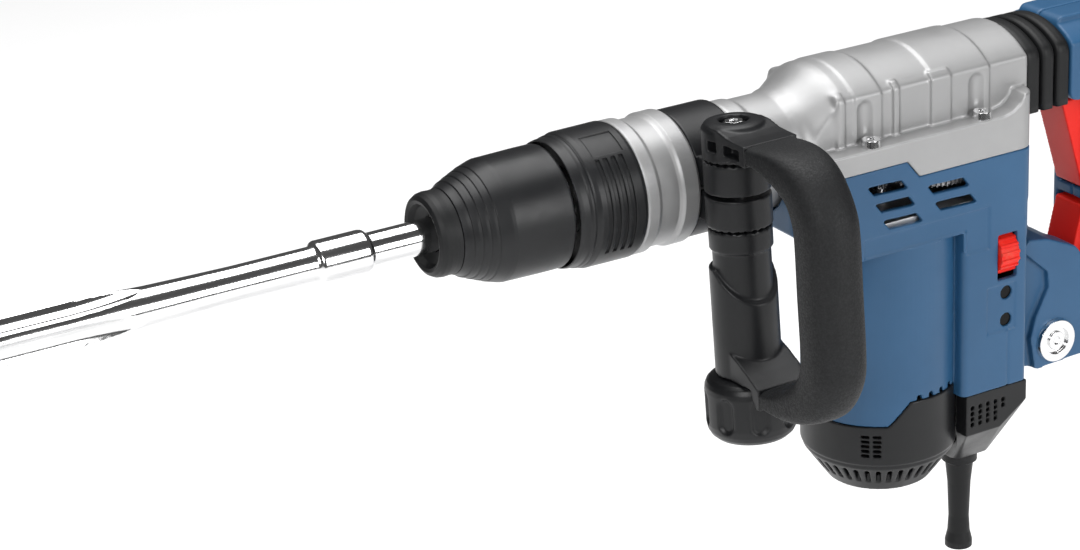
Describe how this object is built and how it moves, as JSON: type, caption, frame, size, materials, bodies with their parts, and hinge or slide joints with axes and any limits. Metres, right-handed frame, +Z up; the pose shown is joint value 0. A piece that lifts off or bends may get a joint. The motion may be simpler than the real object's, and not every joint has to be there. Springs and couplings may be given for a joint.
{
  "type": "demolition hammer",
  "caption": "Hand-held demolition hammer with a slotted-shank chisel, a D-shaped swivelling side handle, a hinged rear handle with bellows and an upright motor under the hammer housing.",
  "frame": {"origin": "centre of the tool socket's mouth, at the front face of the dust cap", "axes": "+X runs back along the hammer axis towards the rear handle, +Z is up, and the motor hangs towards -Z; the side handle is on the -Y side"},
  "size_m": [0.783, 0.1938, 0.321],
  "materials": {
    "silver_paint": "satin metallic paint",
    "blue_plastic": "fine-grained",
    "black_plastic": "fine-grained",
    "black_rubber": "matt",
    "red_plastic": "satin",
    "steel": "machined",
    "ground_steel": "ground",
    "aluminium": "as cast",
    "bronze": "sintered",
    "copper": "enamelled wire",
    "lamination": "dark varnish",
    "carbon": "pressed graphite",
    "window": "smoked"
  },
  "bodies": {
    "housing": {"hammer_housing": "silver_paint", "silver_collar": "silver_paint", "motor_housing": "blue_plastic", "bottom_cover": "black_plastic", "cable_outlet": "black_plastic", "cable_sleeve": "black_rubber", "cable_clamp": "black_plastic", "housing_screws": "ground_steel", "gear_plate": "aluminium", "guide_tube": "steel", "front_bushing": "bronze", "shaft_seal": "black_rubber", "stator": "lamination", "stator_windings": "copper", "lower_bearing": "steel", "upper_bearing": "steel", "crank_bearing": "steel", "brush_holders": "bronze", "carbon_brushes": "carbon", "electronics_module": "black_plastic", "indicator_lenses": "window", "bellows": "black_rubber", "handle_spring": "steel", "pivot_pin": "steel"},
    "holder": {"tool_holder": "steel", "dust_cap": "black_rubber", "lock_rollers": "steel", "sleeve_spring": "steel"},
    "sleeve": {"locking_sleeve": "black_plastic"},
    "ring": {"position_ring": "black_plastic"},
    "chisel": {"chisel": "ground_steel"},
    "bolt": {"impact_bolt": "steel"},
    "striker": {"striker": "steel", "striker_seal": "black_rubber"},
    "piston": {"piston": "aluminium", "piston_seal": "black_rubber", "wrist_pin": "steel"},
    "rod": {"con_rod": "aluminium", "crank_pin": "steel"},
    "crank": {"crank_gear": "steel"},
    "rotor": {"motor_shaft": "steel", "armature": "lamination", "commutator": "copper", "fan": "black_plastic"},
    "band": {"clamp_band": "black_plastic", "clamp_bolt": "ground_steel"},
    "side_handle": {"side_arm": "black_plastic", "side_frame": "black_plastic", "side_grip": "black_rubber"},
    "knob": {"clamp_knob": "black_plastic"},
    "rear_handle": {"rear_handle_left": "blue_plastic", "rear_handle_right": "blue_plastic", "rocker_pin": "steel", "switch_module": "black_plastic", "pivot_caps": "ground_steel"},
    "rocker": {"switch_rocker": "red_plastic"},
    "wheel": {"speed_wheel": "red_plastic"}
  },
  "joints": [
    {"name": "holder_turn", "type": "hinge", "parent": "housing", "child": "holder", "pos_m": [0.06, 0, 0], "axis": [1, 0, 0], "continuous": true},
    {"name": "sleeve_slide", "type": "slide", "parent": "holder", "child": "sleeve", "axis": [1, 0, 0], "range_m": [0, 0.008], "stiffness_N_per_m": 1500, "springref_m": -0.006, "deforming": ["sleeve_spring"]},
    {"name": "ring_slide", "type": "slide", "parent": "holder", "child": "ring", "axis": [-1, 0, 0], "range_m": [0, 0.003], "stiffness_N_per_m": 2500, "springref_m": -0.004},
    {"name": "chisel_slide", "type": "slide", "parent": "holder", "child": "chisel", "axis": [-1, 0, 0], "range_m": [0, 0.01]},
    {"name": "impact_slide", "type": "slide", "parent": "housing", "child": "bolt", "axis": [-1, 0, 0], "range_m": [0, 0.003]},
    {"name": "striker_slide", "type": "slide", "parent": "housing", "child": "striker", "axis": [-1, 0, 0], "range_m": [0, 0.0115]},
    {"name": "piston_slide", "type": "slide", "parent": "housing", "child": "piston", "axis": [1, 0, 0], "range_m": [0, 0.026]},
    {"name": "rod_swing", "type": "hinge", "parent": "piston", "child": "rod", "pos_m": [0.25, 0, 0], "axis": [0, 0, 1], "range_deg": [-14.2, 14.2]},
    {"name": "rotor_spin", "type": "hinge", "parent": "housing", "child": "rotor", "pos_m": [0.283, 0, -0.1], "axis": [0, 0, 1], "continuous": true},
    {"name": "crank_spin", "type": "hinge", "parent": "housing", "child": "crank", "pos_m": [0.316, 0, -0.03], "axis": [0, 0, 1], "continuous": true},
    {"name": "band_turn", "type": "hinge", "parent": "housing", "child": "band", "pos_m": [0.159, 0, 0], "axis": [1, 0, 0], "range_deg": [-90, 90]},
    {"name": "handle_swing", "type": "hinge", "parent": "band", "child": "side_handle", "pos_m": [0.159, -0.04888, 0.00342], "axis": [0, 0.0698, 0.9976], "range_deg": [-40, 40]},
    {"name": "knob_turn", "type": "hinge", "parent": "side_handle", "child": "knob", "pos_m": [0.159, -0.04888, 0.00342], "axis": [0, 0.0698, 0.9976], "continuous": true},
    {"name": "rear_handle_pivot", "type": "hinge", "parent": "housing", "child": "rear_handle", "pos_m": [0.384, 0, -0.1455], "axis": [0, -1, 0], "range_deg": [0, 2], "stiffness_Nm_per_rad": 120, "springref_deg": -3.44, "deforming": ["bellows", "handle_spring"]},
    {"name": "switch_rock", "type": "hinge", "parent": "rear_handle", "child": "rocker", "pos_m": [0.432, 0, -0.07], "axis": [0, 1, 0], "range_deg": [0, 4]},
    {"name": "speed_dial", "type": "hinge", "parent": "housing", "child": "wheel", "pos_m": [0.3395, -0.0346, -0.0785], "axis": [1, 0, 0], "range_deg": [0, 300]}
  ],
  "couplings": [
    {"joint": "crank_spin", "follows": "rotor_spin", "ratio": -0.16667}
  ]
}
